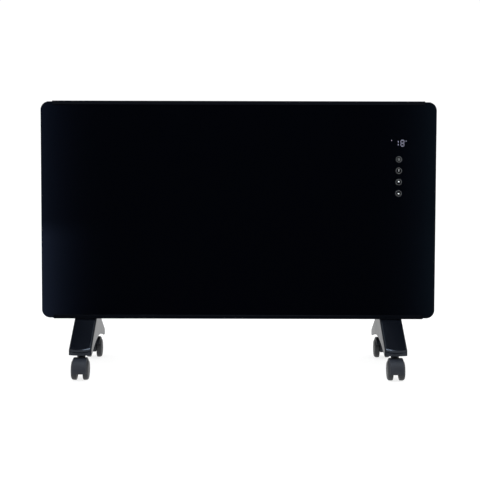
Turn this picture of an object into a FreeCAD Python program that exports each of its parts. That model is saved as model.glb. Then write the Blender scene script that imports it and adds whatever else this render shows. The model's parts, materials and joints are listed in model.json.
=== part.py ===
import FreeCAD, Part
import math
import os
import Sketcher
from types import SimpleNamespace
from FreeCAD import Placement, Rotation, Vector

# Free-standing convector: X to the viewer's right, Y to the rear, Z up, the floor at zero.

driving = {
    # glass front
    "glass_width": 800,
    "glass_height": 440,
    "glass_thickness": 5,
    "glass_corner": 17,
    "glass_edge": 0.8,
    "glass_lift": 110,
    # casing
    "body_depth": 63,
    "sheet_thickness": 1,
    "fold_radius": 3,
    "casing_inset": 14,
    "fit_gap": 0.3,
    "run_gap": 0.05,
    # clamp rails
    "rail_margin": 24,
    "rail_wall": 1.5,
    "rail_lip": 6,
    "rail_back_lip": 13,
    "rail_web": 1.4,
    "rail_float": 0.2,
    "rail_round": 0.6,
    "rivet_radius": 2,
    "rivet_head": 3.6,
    "rivet_head_height": 1.2,
    "rivet_inset": 40,
    "rivet_drop": 7,
    # vents
    "slot_width": 5,
    "slot_height": 28,
    "slot_pitch": 15,
    "slot_edge": 16,
    "vent_margin": 26,
    "outlet_margin": 30,
    "outlet_front": 16,
    "outlet_rear": 22,
    "grille_thickness": 1.4,
    "grille_cover": 6,
    "grille_rim": 4,
    "grille_wall": 2,
    "grille_slot": 9,
    # end caps
    "cap_thickness": 6,
    "cap_spigot": 14,
    "cap_wall": 2.5,
    "cap_bar": 9,
    "cap_corner": 5.5,
    "screw_radius": 1.9,
    "screw_head": 3.8,
    "screw_head_height": 2.2,
    "screw_depth": 8,
    "screw_inset": 45,
    # wall inserts
    "insert_inset": 72,
    "insert_clear": 46,
    "insert_bore": 2.5,
    "insert_barrel": 3.6,
    "insert_flange": 5.5,
    "insert_flange_height": 0.8,
    "insert_depth": 9,
    # hot chamber
    "partition_inset": 124,
    "partition_flange": 12,
    "partition_drop": 8,
    "lead_hole": 5,
    "reflector_thickness": 0.6,
    "reflector_stand": 13,
    "reflector_low": 60,
    "reflector_drop": 70,
    "spacer_radius": 5,
    "spacer_inset": 34,
    "spacer_step": 40,
    "element_inset": 48,
    "element_low": 85,
    "element_pitch": 60,
    "element_forward": 4,
    "element_reach": 15,
    "element_fin": 2.2,
    "element_core": 6,
    "element_rod": 4,
    "rod_overhang": 12,
    "bracket_thickness": 1.2,
    "bracket_flange": 14,
    "bracket_margin": 34,
    "insulator_radius": 7,
    "insulator_flange": 10,
    "insulator_flange_height": 2.5,
    "insulator_length": 7,
    "cutout_radius": 8,
    "cutout_depth": 9,
    "cutout_flange": 12,
    "cutout_height": 300,
    # controls behind the glass
    "key_inset": 74.5,
    "key_drop": 115.8,
    "key_pitch": 23,
    "key_radius": 6.5,
    "key_post": 6,
    "display_drop": 83,
    "display_shift": 4.5,
    "display_width": 30,
    "display_height": 18,
    "housing_half": 28,
    "housing_above": 22,
    "housing_below": 20,
    "housing_depth": 16,
    "housing_wall": 2,
    "board_thickness": 1.6,
    "post_radius": 3,
    # power electronics
    "power_gap": 14,
    "power_end_gap": 6,
    "power_low": 80,
    "power_height": 130,
    "power_stand": 6.4,
    "standoff_radius": 3.5,
    "standoff_inset": 7,
    "relay_width": 20,
    "relay_height": 26,
    "relay_depth": 16,
    "coil_width": 36,
    "coil_height": 30,
    "coil_depth": 24,
    "terminal_low": 56,
    "terminal_width": 36,
    "terminal_height": 18,
    "terminal_depth": 15,
    # inner leads
    "lead_radius": 1.4,
    "lead_bend": 3.2,
    "lead_drop": 8,
    "lead_pitch": 4.4,
    "lead_step": 8,
    "lead_rise": 9,
    "ribbon_width": 12,
    "ribbon_thickness": 1.2,
    "ribbon_drop": 6,
    # cord gland
    "gland_inset": 34,
    "gland_low": 32,
    "gland_barrel": 7,
    "gland_inner": 11,
    "gland_flange": 10,
    "gland_flange_height": 4,
    "gland_nose": 9,
    "gland_nose_radius": 7,
    "gland_bore": 3.6,
    "gland_nut": 11,
    "gland_nut_height": 4,
    # mains switch
    "switch_step": 38,
    "switch_low": 32,
    "bezel_width": 24,
    "bezel_height": 18,
    "bezel_thickness": 2,
    "switch_width": 20,
    "switch_height": 14,
    "switch_depth": 15,
    "rocker_width": 15.2,
    "rocker_height": 10,
    "rocker_gap": 0.5,
    "rocker_tilt": 8,
    "rocker_sink": 0.8,
    "rocker_pin": 1.2,
    "rocker_pin_reach": 0.8,
    # sensors on the casing floor
    "tilt_width": 11,
    "tilt_depth": 20,
    "tilt_height": 24,
    "tilt_lift": 10,
    "sensor_inset": 28,
    "sensor_size": 10,
    "sensor_height": 16,
    # feet
    "foot_inset": 88.5,
    "foot_width": 45,
    "foot_bottom": 49.6,
    "toe_reach": 113.5,
    "toe_crown": 4.5,
    "nose_round": 9,
    "knee_reach": 101.5,
    "knee_height": 66.7,
    "shoulder_reach": 29,
    "saddle_gap": 0.5,
    "rail_clear": 0.6,
    "arch_reach": 97,
    "arch_rise": 17,
    "foot_wall": 3,
    "foot_skin": 3.5,
    "foot_rib": 2.5,
    "rib_inner": 30,
    "rib_outer": 58,
    "foot_round": 3.5,
    "foot_screw_reach": 13,
    "foot_screw": 2.5,
    "foot_screw_head": 4.5,
    "foot_screw_head_height": 3.2,
    "foot_plate": 2,
    # casters
    "stem_reach": 91.5,
    "caster_trail": 13.2,
    "boss_radius": 9,
    "stem_radius": 4,
    "stem_top": 65.5,
    "stem_low": 28,
    "collar_radius": 5.5,
    "collar_low": 45,
    "wheel_radius": 20,
    "wheel_inner": 6.5,
    "wheel_outer": 17.7,
    "tread_outer": 13.2,
    "dome_rim": 15,
    "dome_rise": 1,
    "hub_radius": 6.5,
    "rim_radius": 16.5,
    "wheel_recess": 4,
    "axle_radius": 2.5,
    "axle_half": 14.5,
    "web_half": 5.9,
    "web_radius": 22.6,
    "web_drop": 4.5,
    "fender_inner": 20.9,
    "fender_outer": 24.3,
    "fender_half": 14.3,
    "fender_round": 2.5,
    "fender_trail": 100,
    "fender_lead": 60,
    "swivel_gap": 0.3,
    "swivel_boss": 8.2,
}

doc = FreeCAD.newDocument("PanelHeater")
sheet = doc.addObject("Spreadsheet::Sheet", "Sizes")
for row, (name, value) in enumerate(driving.items(), 1):
    sheet.set(f"A{row}", name)
    sheet.set(f"B{row}", str(value))
    sheet.setAlias(f"B{row}", name)
doc.recompute()


class Size:
    # A number together with the sheet formula that gives it
    def __init__(self, value, text):
        self.value = float(value)
        self.text = text

    def __add__(self, other):
        other = size(other)
        return Size(self.value + other.value, f"({self.text} + {other.text})")

    def __sub__(self, other):
        other = size(other)
        return Size(self.value - other.value, f"({self.text} - {other.text})")

    def __mul__(self, other):
        other = size(other)
        return Size(self.value * other.value, f"({self.text} * {other.text})")

    def __truediv__(self, other):
        other = size(other)
        return Size(self.value / other.value, f"({self.text} / {other.text})")

    def __neg__(self):
        return Size(-self.value, f"(0 - {self.text})")

    def whole(self):
        return Size(math.floor(self.value), f"floor({self.text})")


def size(item):
    return item if isinstance(item, Size) else Size(item, f"({item})")


s = SimpleNamespace(**{name: Size(sheet.get(name), f"Sizes.{name}") for name in driving})
along = {"X": Rotation(Vector(0, 1, 0), 90), "Y": Rotation(Vector(1, 0, 0), -90), "Z": Rotation()}
nodes = []


def bind(obj, prop, value):
    obj.setExpression(prop, size(value).text)


def place(obj, x=0, y=0, z=0, turn=None):
    if turn:
        obj.Placement = Placement(Vector(), turn)
    for axis, value in zip("xyz", (x, y, z)):
        bind(obj, f"Placement.Base.{axis}", value)
    return obj


def node(obj, label):
    obj.Label = label
    nodes.append(obj)
    return obj


# Primitives and booleans

def block(name, xs, ys, zs):
    obj = doc.addObject("Part::Box", name)
    for prop, (low, high) in zip(("Length", "Width", "Height"), (xs, ys, zs)):
        bind(obj, prop, size(high) - low)
    return place(obj, xs[0], ys[0], zs[0])


def rod(name, axis, radius, length, x, y, z):
    obj = doc.addObject("Part::Cylinder", name)
    bind(obj, "Radius", radius)
    bind(obj, "Height", length)
    return place(obj, x, y, z, along[axis])


def fuse(name, *shapes):
    obj = doc.addObject("Part::MultiFuse", name)
    obj.Shapes = list(shapes)
    return obj


def cut(name, base, *tools):
    obj = doc.addObject("Part::Cut", name)
    obj.Base = base
    obj.Tool = tools[0] if len(tools) == 1 else fuse(f"{name}_tools", *tools)
    return obj


def common(name, base, tool):
    obj = doc.addObject("Part::Common", name)
    obj.Base = base
    obj.Tool = tool
    return obj


def group(name, shapes):
    obj = doc.addObject("Part::Compound", name)
    obj.Links = list(shapes)
    return obj


# Bodies and sketches

def sketch_on(body, name, role, shift=0):
    sketch = body.newObject("Sketcher::SketchObject", name)
    plane = next(item for item in body.Origin.OriginFeatures if item.Role == role)
    sketch.AttachmentSupport = (plane, [""])
    sketch.MapMode = "FlatFace"
    bind(sketch, "AttachmentOffset.Base.z", shift)
    return sketch


def arc_between(start, end, radius):
    # The shorter arc, turning left when the radius is above zero
    half = (end - start) * 0.5
    side = Vector(-half.y, half.x, 0).normalize()
    reach = math.sqrt(max(radius ** 2 - half.Length ** 2, 0))
    centre = start + half + side * math.copysign(reach, radius)
    ends = (start, end) if radius > 0 else (end, start)
    angles = [math.atan2(point.y - centre.y, point.x - centre.x) for point in ends]
    return Part.ArcOfCircle(Part.Circle(centre, Vector(0, 0, 1), abs(radius)), *angles)


def outline(sketch, corners):
    # Closed outline; a corner's third value is the radius of the arc that leads to the next corner
    points = [Vector(size(corner[0]).value, size(corner[1]).value, 0) for corner in corners]
    count = len(corners)
    first = sketch.GeometryCount
    heads = []
    for index, corner in enumerate(corners):
        following = points[(index + 1) % count]
        radius = size(corner[2]).value if len(corner) == 3 else 0
        heads.append(2 if radius < 0 else 1)
        if radius:
            sketch.addGeometry(arc_between(points[index], following, radius))
        else:
            sketch.addGeometry(Part.LineSegment(points[index], following))
    for index, corner in enumerate(corners):
        before = (index - 1) % count
        here = (first + index, heads[index])
        sketch.addConstraint(Sketcher.Constraint("Coincident", first + before, 3 - heads[before], *here))
        for kind, value in zip(("DistanceX", "DistanceY"), corner):
            number = sketch.addConstraint(Sketcher.Constraint(kind, -1, 1, *here, size(value).value))
            bind(sketch, f"Constraints[{number}]", value)
        if len(corner) == 3:
            radius = corner[2] if heads[index] == 1 else -size(corner[2])
            number = sketch.addConstraint(Sketcher.Constraint("Radius", first + index, size(radius).value))
            bind(sketch, f"Constraints[{number}]", radius)
    return sketch


def rectangle(sketch, across, up):
    corners = [(across[0], up[0]), (across[1], up[0]), (across[1], up[1]), (across[0], up[1])]
    return outline(sketch, corners)


def slot(sketch, middle, low, high, width):
    # Round-ended slot that runs up the sketch
    half = width / 2
    corners = [
        (middle - half, low + half, half),
        (size(middle), low, half),
        (middle + half, low + half),
        (middle + half, high - half, half),
        (size(middle), high, half),
        (middle - half, high - half),
    ]
    return outline(sketch, corners)


def extrude(body, kind, sketch, length, symmetric=False, back=False):
    feature = body.newObject(f"PartDesign::{kind}", f"{sketch.Name}_{kind}")
    feature.Profile = sketch
    bind(feature, "Length", length)
    feature.SideType = "Symmetric" if symmetric else "One side"
    feature.Reversed = back
    return feature


def revolve(body, sketch, axis):
    feature = body.newObject("PartDesign::Revolution", f"{sketch.Name}_turned")
    feature.Profile = sketch
    feature.ReferenceAxis = (sketch, [axis])
    feature.Angle = 360
    return feature


def row_of(body, original, count, pitch):
    feature = body.newObject("PartDesign::LinearPattern", f"{original.Name}_row")
    feature.Originals = [original]
    feature.Direction = (original.Profile[0], ["H_Axis"])
    bind(feature, "Length", (count - 1) * pitch)
    bind(feature, "Occurrences", count)
    body.Tip = feature
    return feature


def dress(body, kind, prop, value, base, chosen):
    # Fillet or chamfer on the edges that the test picks
    doc.recompute()
    names = [f"Edge{number}" for number, edge in enumerate(base.Shape.Edges, 1) if chosen(edge)]
    feature = body.newObject(f"PartDesign::{kind}", f"{body.Name}_{kind}")
    feature.Base = (base, names)
    bind(feature, prop, value)
    return feature


def runs_along(edge, axis):
    if not isinstance(edge.Curve, Part.Line):
        return False
    return abs(edge.tangentAt(edge.FirstParameter).dot(axis)) > 0.999


def near(one, other):
    return abs(one - size(other).value) < 1e-4


x_axis = Vector(1, 0, 0)
y_axis = Vector(0, 1, 0)
z_axis = Vector(0, 0, 1)

# Shared planes
half_glass = s.glass_width / 2
front = -(s.body_depth / 2)
glass_back = front + s.glass_thickness
lip_front = glass_back + s.rail_wall
lip_back = lip_front + s.sheet_thickness
back = s.body_depth / 2
back_inside = back - s.sheet_thickness
bottom = s.glass_lift
top = bottom + s.glass_height
middle = bottom + s.glass_height / 2
floor_inside = bottom + s.sheet_thickness
roof_inside = top - s.sheet_thickness
casing_end = half_glass - s.casing_inset
partition = casing_end - s.partition_inset
foot_x = half_glass - s.foot_inset

# Glass front: a sheet with round corners and ground edges
glass = doc.addObject("PartDesign::Body", "glass_body")
plan = sketch_on(glass, "glass_outline", "XZ_Plane", -glass_back)
plate = extrude(glass, "Pad", rectangle(plan, (-half_glass, half_glass), (bottom, top)), s.glass_thickness)
rounded = dress(glass, "Fillet", "Radius", s.glass_corner, plate, lambda edge: runs_along(edge, y_axis))
dress(glass, "Chamfer", "Size", s.glass_edge, rounded, lambda edge: not runs_along(edge, y_axis))
node(glass, "glass_front")

# Clamp rails: channels along the upper and lower edge of the glass, riveted to the casing
rail_half = half_glass - s.rail_margin
rivets = []


def rail(label, edge, sign):
    crown = edge + (s.rail_float + s.rail_web) * sign
    body = doc.addObject("PartDesign::Body", f"{label}_body")
    corners = [
        (front - s.rail_wall, edge - s.rail_lip * sign),
        (front, edge - s.rail_lip * sign),
        (front, edge + s.rail_float * sign),
        (glass_back, edge + s.rail_float * sign),
        (glass_back, edge - s.rail_back_lip * sign),
        (lip_front, edge - s.rail_back_lip * sign),
        (lip_front, crown),
        (front - s.rail_wall, crown),
    ]
    section = outline(sketch_on(body, f"{label}_profile", "YZ_Plane"), corners)
    channel = extrude(body, "Pad", section, rail_half * 2, True)
    dress(body, "Fillet", "Radius", s.rail_round, channel,
          lambda edge: runs_along(edge, x_axis) and near(edge.CenterOfMass.y, front - s.rail_wall))
    mine = []
    for number in range(4):
        x = -rail_half + s.rivet_inset + (rail_half - s.rivet_inset) * 2 * number / 3
        z = edge - s.rivet_drop * sign
        shank = rod(f"{label}_shank{number}", "Y", s.rivet_radius, lip_back - glass_back, x, glass_back, z)
        head = rod(f"{label}_head{number}", "Y", s.rivet_head, s.rivet_head_height, x, lip_back, z)
        mine.append(fuse(f"{label}_rivet{number}", shank, head))
    rivets.extend(mine)
    node(cut(f"{label}_drilled", body, *mine), label)


rail("top_rail", top, 1)
rail("bottom_rail", bottom, -1)
node(group("rivet_group", rivets), "rail_rivets")

# Screws of the end caps, driven from the rear into the bar of each cap
cap_screw_x = casing_end - s.cap_spigot / 2
cap_screws = []
cap_clearance = []
for side in (-1, 1):
    for low, z in enumerate((bottom + s.screw_inset, top - s.screw_inset)):
        name = f"cap_screw{side + 1}{low}"
        shank = rod(f"{name}_shank", "Y", s.screw_radius, s.screw_depth + s.sheet_thickness,
                    cap_screw_x * side, back_inside - s.screw_depth, z)
        head = rod(f"{name}_head", "Y", s.screw_head, s.screw_head_height, cap_screw_x * side, back, z)
        cap_screws.append(fuse(name, shank, head))
        cap_clearance.append(rod(f"{name}_hole", "Y", s.screw_radius + s.fit_gap, s.sheet_thickness * 3,
                                 cap_screw_x * side, back_inside - s.sheet_thickness, z))
node(group("cap_screw_group", cap_screws), "end_cap_screws")

# Threaded inserts in the back for a wall bracket
inserts = []
insert_barrels = []
insert_x = partition - s.insert_inset
insert_edge = s.slot_edge + s.slot_height + s.insert_clear
for column in (-1, 1):
    for level, z in enumerate((bottom + insert_edge, top - insert_edge)):
        name = f"insert{column + 1}{level}"
        x = insert_x * column
        barrel = rod(f"{name}_barrel", "Y", s.insert_barrel, s.insert_depth, x, back - s.insert_depth, z)
        flange = rod(f"{name}_flange", "Y", s.insert_flange, s.insert_flange_height, x, back, z)
        thread = rod(f"{name}_thread", "Y", s.insert_bore, s.insert_depth * 2, x,
                     back - s.insert_depth * 1.5, z)
        inserts.append(cut(name, fuse(f"{name}_solid", barrel, flange), thread))
        insert_barrels.append(barrel)
node(group("insert_group", inserts), "wall_nuts")

# Feet: hollow arches with ribs, stem bosses and a saddle under the casing
rail_low = bottom - s.rail_float - s.rail_web
shoulder_height = rail_low - s.rail_clear
saddle_reach = -lip_front - s.saddle_gap
slope = (shoulder_height - s.knee_height) / (s.knee_reach - s.shoulder_reach)
toe_height = s.knee_height - slope * (s.toe_reach - s.knee_reach)
skin_low = shoulder_height - s.foot_skin
arch_radius = (s.arch_reach * s.arch_reach + s.arch_rise * s.arch_rise) / (s.arch_rise * 2)
half_foot = s.foot_width / 2
crown_reach = s.toe_reach - s.toe_crown
crown_radius = (half_foot * half_foot + s.toe_crown * s.toe_crown) / (s.toe_crown * 2)
hollow_reach = crown_reach - s.foot_wall
hollow_toe = s.knee_height - slope * (hollow_reach - s.knee_reach) - s.foot_skin
hollow_half = half_foot - s.foot_wall
foot_screw_top = floor_inside + s.foot_plate
foot_screws = []
foot_clearance = []
foot_plates = []


def mirrored(points):
    # Right half of an outline as given, then its left half
    return points + [(-point[0], *point[1:]) for point in reversed(points)]


def foot(label, x):
    body = doc.addObject("PartDesign::Body", f"{label}_body")
    half = [
        (s.toe_reach, s.foot_bottom),
        (s.toe_reach, toe_height),
        (s.shoulder_reach, shoulder_height),
        (saddle_reach, shoulder_height),
        (saddle_reach, bottom),
    ]
    arch = [(-s.arch_reach, s.foot_bottom, -arch_radius), (s.arch_reach, s.foot_bottom)]
    arch_profile = outline(sketch_on(body, f"{label}_profile", "YZ_Plane"), mirrored(half) + arch)
    arched = extrude(body, "Pad", arch_profile, s.foot_width, True)
    plan = rectangle(sketch_on(body, f"{label}_plan", "XY_Plane"), (-s.foot_width, s.foot_width),
                     (-(s.toe_reach * 2), s.toe_reach * 2))
    outline(plan, [
        (-half_foot, -crown_reach, crown_radius),
        (half_foot, -crown_reach),
        (half_foot, crown_reach, crown_radius),
        (-half_foot, crown_reach),
    ])
    crowned = extrude(body, "Pocket", plan, bottom, back=True)
    low = (toe_height.value + s.foot_bottom.value) / 2
    noses = dress(body, "Fillet", "Radius", s.nose_round, crowned, lambda edge: edge.BoundBox.ZMin > low
                  and not isinstance(edge.Curve, Part.Line))
    dress(body, "Fillet", "Radius", s.foot_round, noses, lambda edge: isinstance(edge.Curve, Part.Line)
          and edge.BoundBox.ZMin > low and edge.BoundBox.ZMax < shoulder_height.value + 1e-3
          and edge.BoundBox.YLength > s.foot_round.value and edge.BoundBox.ZLength > s.foot_round.value)
    place(body, x)
    inner = doc.addObject("PartDesign::Body", f"{label}_inner")
    room = [
        (hollow_reach, s.foot_bottom - s.foot_wall),
        (hollow_reach, hollow_toe),
        (s.shoulder_reach, skin_low),
    ]
    section = outline(sketch_on(inner, f"{label}_room", "YZ_Plane"), mirrored(room))
    extrude(inner, "Pad", section, hollow_half * 2, True)
    place(inner, x)
    kept = []
    seats = []
    bores = []
    for end in (-1, 1):
        y = s.stem_reach * end
        kept.append(rod(f"{label}_boss{end + 1}", "Z", s.boss_radius, bottom, x, y, 0))
        seats.append(rod(f"{label}_seat{end + 1}", "Z", s.boss_radius, s.arch_rise, x, y, s.foot_bottom))
        for rib, reach in (("inner", s.rib_inner), ("outer", s.rib_outer)):
            ys = (reach * end - s.foot_rib / 2, reach * end + s.foot_rib / 2)
            rib_xs = (x - s.foot_width, x + s.foot_width)
            kept.append(block(f"{label}_{rib}_rib{end + 1}", rib_xs, ys, (0, bottom)))
        bores.append(rod(f"{label}_bore{end + 1}", "Z", s.stem_radius, s.stem_top, x, y, 0))
        y = s.foot_screw_reach * end
        name = f"{label}_screw{end + 1}"
        shank = rod(f"{name}_shank", "Z", s.foot_screw, foot_screw_top - skin_low, x, y, skin_low)
        head = rod(f"{name}_head", "Z", s.foot_screw_head, s.foot_screw_head_height, x, y,
                   skin_low - s.foot_screw_head_height)
        foot_screws.append(fuse(name, shank, head))
        hole = rod(f"{name}_hole", "Z", s.foot_screw + s.fit_gap, floor_inside - s.foot_bottom,
                   x, y, s.foot_bottom)
        foot_clearance.append(hole)
        bores.append(hole)
    solid = block(f"{label}_plate_solid", (x - s.foot_width / 2, x + s.foot_width / 2),
                  (lip_back + s.fit_gap, saddle_reach), (floor_inside, floor_inside + s.foot_plate))
    foot_plates.append(cut(f"{label}_plate", solid, *foot_screws[-2:]))
    shell = cut(f"{label}_shell", body, cut(f"{label}_hollow", inner, *kept))
    node(cut(f"{label}_drilled", fuse(f"{label}_seated", shell, *seats), *bores), label)


foot("left_foot", -foot_x)
foot("right_foot", foot_x)
node(group("foot_screw_group", foot_screws), "foot_screws")
node(group("foot_plate_group", foot_plates), "foot_plates")

# Cord gland through the back, with its nut inside
gland_x = casing_end - s.gland_inset
gland_z = bottom + s.gland_low
gland_barrel = rod("gland_barrel_rod", "Y", s.gland_barrel, s.gland_inner, gland_x, back - s.gland_inner,
                   gland_z)
gland_flange = rod("gland_flange_rod", "Y", s.gland_flange, s.gland_flange_height, gland_x, back, gland_z)
gland_nose = doc.addObject("Part::Cone", "gland_nose_cone")
bind(gland_nose, "Radius1", s.gland_flange)
bind(gland_nose, "Radius2", s.gland_nose_radius)
bind(gland_nose, "Height", s.gland_nose)
place(gland_nose, gland_x, back + s.gland_flange_height, gland_z, along["Y"])
gland_bore = rod("gland_bore_rod", "Y", s.gland_bore, s.body_depth, gland_x, 0, gland_z)
gland_solid = fuse("gland_solid", gland_barrel, gland_flange, gland_nose)
node(cut("gland", gland_solid, gland_bore), "cord_gland")
nut = doc.addObject("Part::Prism", "nut_prism")
nut.Polygon = 6
bind(nut, "Circumradius", s.gland_nut)
bind(nut, "Height", s.gland_nut_height)
place(nut, gland_x, back_inside - s.gland_nut_height, gland_z, along["Y"])
node(cut("nut_drilled", nut, gland_barrel), "gland_nut")

# Mains switch in the back: a housing clipped into the sheet and a rocker on a pin
switch_x = partition + s.switch_step
switch_z = bottom + s.switch_low
rocker_y = back + s.bezel_thickness - s.rocker_sink


def about(centre, width):
    return (centre - width / 2, centre + width / 2)


bezel = block("bezel_plate", about(switch_x, s.bezel_width), (back, back + s.bezel_thickness),
              about(switch_z, s.bezel_height))
switch_body = block("switch_body", about(switch_x, s.switch_width), (back - s.switch_depth, back),
                    about(switch_z, s.switch_height))
rocker_room = block("rocker_room", about(switch_x, s.rocker_width + s.rocker_gap * 2),
                    (rocker_y - s.rocker_height * 0.6, back + s.bezel_thickness * 2),
                    about(switch_z, s.rocker_height + s.rocker_gap * 2))
pin_length = s.rocker_width + (s.rocker_gap + s.rocker_pin_reach) * 2
pin_hole = rod("rocker_pin_hole", "X", s.rocker_pin + s.run_gap, pin_length + s.fit_gap * 2,
               switch_x - pin_length / 2 - s.fit_gap, rocker_y, switch_z)
node(cut("switch_hollow", fuse("switch_solid", bezel, switch_body), rocker_room, pin_hole), "switch_housing")
rocker = doc.addObject("PartDesign::Body", "rocker_body")
rocker_half = s.rocker_height / 2
rocker_corners = [
    (s.rocker_height * -0.4, rocker_half * -0.92),
    (s.rocker_height * 0.22, -rocker_half),
    (s.rocker_height * 0.16, size(0)),
    (s.rocker_height * 0.22, rocker_half),
    (s.rocker_height * -0.4, rocker_half * 0.92),
]
rocker_section = outline(sketch_on(rocker, "rocker_profile", "YZ_Plane"), rocker_corners)
extrude(rocker, "Pad", rocker_section, s.rocker_width, True)
place(rocker, switch_x, rocker_y, switch_z, Rotation(Vector(1, 0, 0), 1))
bind(rocker, "Placement.Rotation.Angle", s.rocker_tilt)
pin = rod("rocker_pin_rod", "X", s.rocker_pin, pin_length, switch_x - pin_length / 2, rocker_y, switch_z)
node(fuse("rocker_solid", rocker, pin), "switch_rocker")

# Casing: a folded steel tray, open to the front and at both ends
casing = doc.addObject("PartDesign::Body", "casing_body")
tray_corners = [
    (lip_front, bottom),
    (back, bottom),
    (back, top),
    (lip_front, top),
    (lip_front, top - s.rail_back_lip),
    (lip_back, top - s.rail_back_lip),
    (lip_back, roof_inside),
    (back_inside, roof_inside),
    (back_inside, floor_inside),
    (lip_back, floor_inside),
    (lip_back, bottom + s.rail_back_lip),
    (lip_front, bottom + s.rail_back_lip),
]
tray_section = outline(sketch_on(casing, "casing_profile", "YZ_Plane"), tray_corners)
tray = extrude(casing, "Pad", tray_section, casing_end * 2, True)
folds = dress(casing, "Fillet", "Radius", s.fold_radius, tray, lambda edge: runs_along(edge, x_axis)
              and near(edge.CenterOfMass.y, back))
inner_folds = dress(casing, "Fillet", "Radius", s.fold_radius - s.sheet_thickness, folds,
                    lambda edge: runs_along(edge, x_axis) and near(edge.CenterOfMass.y, back_inside))
vent_start = -casing_end + s.vent_margin
vent_count = ((partition - s.vent_margin - vent_start) / s.slot_pitch).whole() + 1
vents = sketch_on(casing, "back_vents", "XZ_Plane")
slot(vents, vent_start, bottom + s.slot_edge, bottom + s.slot_edge + s.slot_height, s.slot_width)
slot(vents, vent_start, top - s.slot_edge - s.slot_height, top - s.slot_edge, s.slot_width)
row_of(casing, extrude(casing, "Pocket", vents, s.body_depth), vent_count, s.slot_pitch)
inlet_count = ((partition - s.vent_margin) * 2 / s.slot_pitch).whole() + 1
inlet_start = (inlet_count - 1) * s.slot_pitch / -2
inlets = sketch_on(casing, "floor_vents", "XY_Plane", middle)
slot(inlets, inlet_start, -s.outlet_front, s.outlet_rear, s.slot_width)
row_of(casing, extrude(casing, "Pocket", inlets, s.glass_height), inlet_count, s.slot_pitch)
outlet_half = casing_end - s.outlet_margin
outlet = sketch_on(casing, "roof_outlet", "XY_Plane", middle)
rectangle(outlet, (-outlet_half, outlet_half), (-s.outlet_front, s.outlet_rear))
casing.Tip = extrude(casing, "Pocket", outlet, s.glass_height, back=True)
gland_hole = rod("gland_hole", "Y", s.gland_barrel + s.fit_gap, s.sheet_thickness * 3, gland_x,
                 back_inside - s.sheet_thickness, gland_z)
switch_hole = block("switch_hole", about(switch_x, s.switch_width + s.fit_gap * 2), (0, s.body_depth),
                    about(switch_z, s.switch_height + s.fit_gap * 2))
casing_tools = rivets + cap_clearance + insert_barrels + foot_clearance + [gland_hole, switch_hole]
node(cut("casing_drilled", casing, *casing_tools), "rear_casing")

# Outlet grille, dropped into the roof of the casing
grille = doc.addObject("PartDesign::Body", "grille_body")
cover_xs = (-outlet_half - s.grille_cover, outlet_half + s.grille_cover)
cover_ys = (-s.outlet_front - s.grille_cover, s.outlet_rear + s.grille_cover)
cover = rectangle(sketch_on(grille, "grille_cover_outline", "XY_Plane", top), cover_xs, cover_ys)
extrude(grille, "Pad", cover, s.grille_thickness)
rim = sketch_on(grille, "grille_rim_outline", "XY_Plane", top)
for inset in (s.fit_gap, s.fit_gap + s.grille_wall):
    rectangle(rim, (-outlet_half + inset, outlet_half - inset),
              (-s.outlet_front + inset, s.outlet_rear - inset))
extrude(grille, "Pad", rim, s.grille_rim, back=True)
grille_inset = s.fit_gap + s.grille_wall
grille_count = ((outlet_half - grille_inset - s.grille_slot) * 2 / s.slot_pitch).whole() + 1
grille_start = (grille_count - 1) * s.slot_pitch / -2
louvre = sketch_on(grille, "grille_slot_outline", "XY_Plane", top + s.grille_thickness)
slot(louvre, grille_start, -s.outlet_front + grille_inset, s.outlet_rear - grille_inset, s.grille_slot)
row_of(grille, extrude(grille, "Pocket", louvre, s.grille_thickness), grille_count, s.slot_pitch)
node(grille, "top_grille")


# End caps: plates with a spigot that slides into the open ends of the casing
def end_cap(label, side):
    body = doc.addObject("PartDesign::Body", f"{label}_body")
    plan = sketch_on(body, f"{label}_outline", "YZ_Plane", casing_end * side)
    rectangle(plan, (lip_front, back), (bottom, top))
    plate = extrude(body, "Pad", plan, s.cap_thickness, back=side < 0)
    face = (casing_end + s.cap_thickness) * side
    corners = dress(body, "Fillet", "Radius", s.cap_corner, plate, lambda edge: runs_along(edge, y_axis)
                    and near(edge.CenterOfMass.x, face))
    dress(body, "Fillet", "Radius", s.fold_radius, corners, lambda edge: near(edge.BoundBox.YMin, back)
          and near(edge.BoundBox.YMax, back) and not near(edge.CenterOfMass.x, casing_end * side))
    spigot = sketch_on(body, f"{label}_spigot", "YZ_Plane", casing_end * side)
    ys = (lip_back + s.fit_gap, back_inside - s.fit_gap)
    zs = (floor_inside + s.fit_gap, roof_inside - s.fit_gap)
    rectangle(spigot, ys, zs)
    rectangle(spigot, (ys[0] + s.cap_wall, ys[1] - s.cap_bar), (zs[0] + s.cap_wall, zs[1] - s.cap_wall))
    ring = extrude(body, "Pad", spigot, s.cap_spigot, back=side > 0)
    dress(body, "Fillet", "Radius", s.fold_radius - s.sheet_thickness, ring,
          lambda edge: runs_along(edge, x_axis) and near(edge.CenterOfMass.y, ys[1])
          and edge.Length > s.cap_spigot.value / 2)
    node(cut(f"{label}_drilled", body, *cap_screws[1 + side:3 + side]), label)


end_cap("left_end_cap", -1)
end_cap("right_end_cap", 1)

# Partition between the hot chamber and the electronics
partition_ys = (lip_back + s.cap_wall, back_inside)
wall = block("partition_wall", (partition, partition + s.sheet_thickness), partition_ys,
             (floor_inside, roof_inside - s.partition_drop))
flange = block("partition_flange_plate", (partition, partition + s.partition_flange),
               (back_inside - s.sheet_thickness, back_inside),
               (floor_inside + s.fold_radius, roof_inside - s.partition_drop))
element_y = -s.element_forward
power_zs = (bottom + s.power_low, bottom + s.power_low + s.power_height)
lead_z = power_zs[1] - s.lead_drop
lead_hole = rod("lead_hole_rod", "X", s.lead_hole, s.sheet_thickness * 3,
                partition - s.sheet_thickness, element_y, lead_z)
node(cut("partition_drilled", fuse("partition_solid", wall, flange), lead_hole), "partition_plate")

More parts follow.
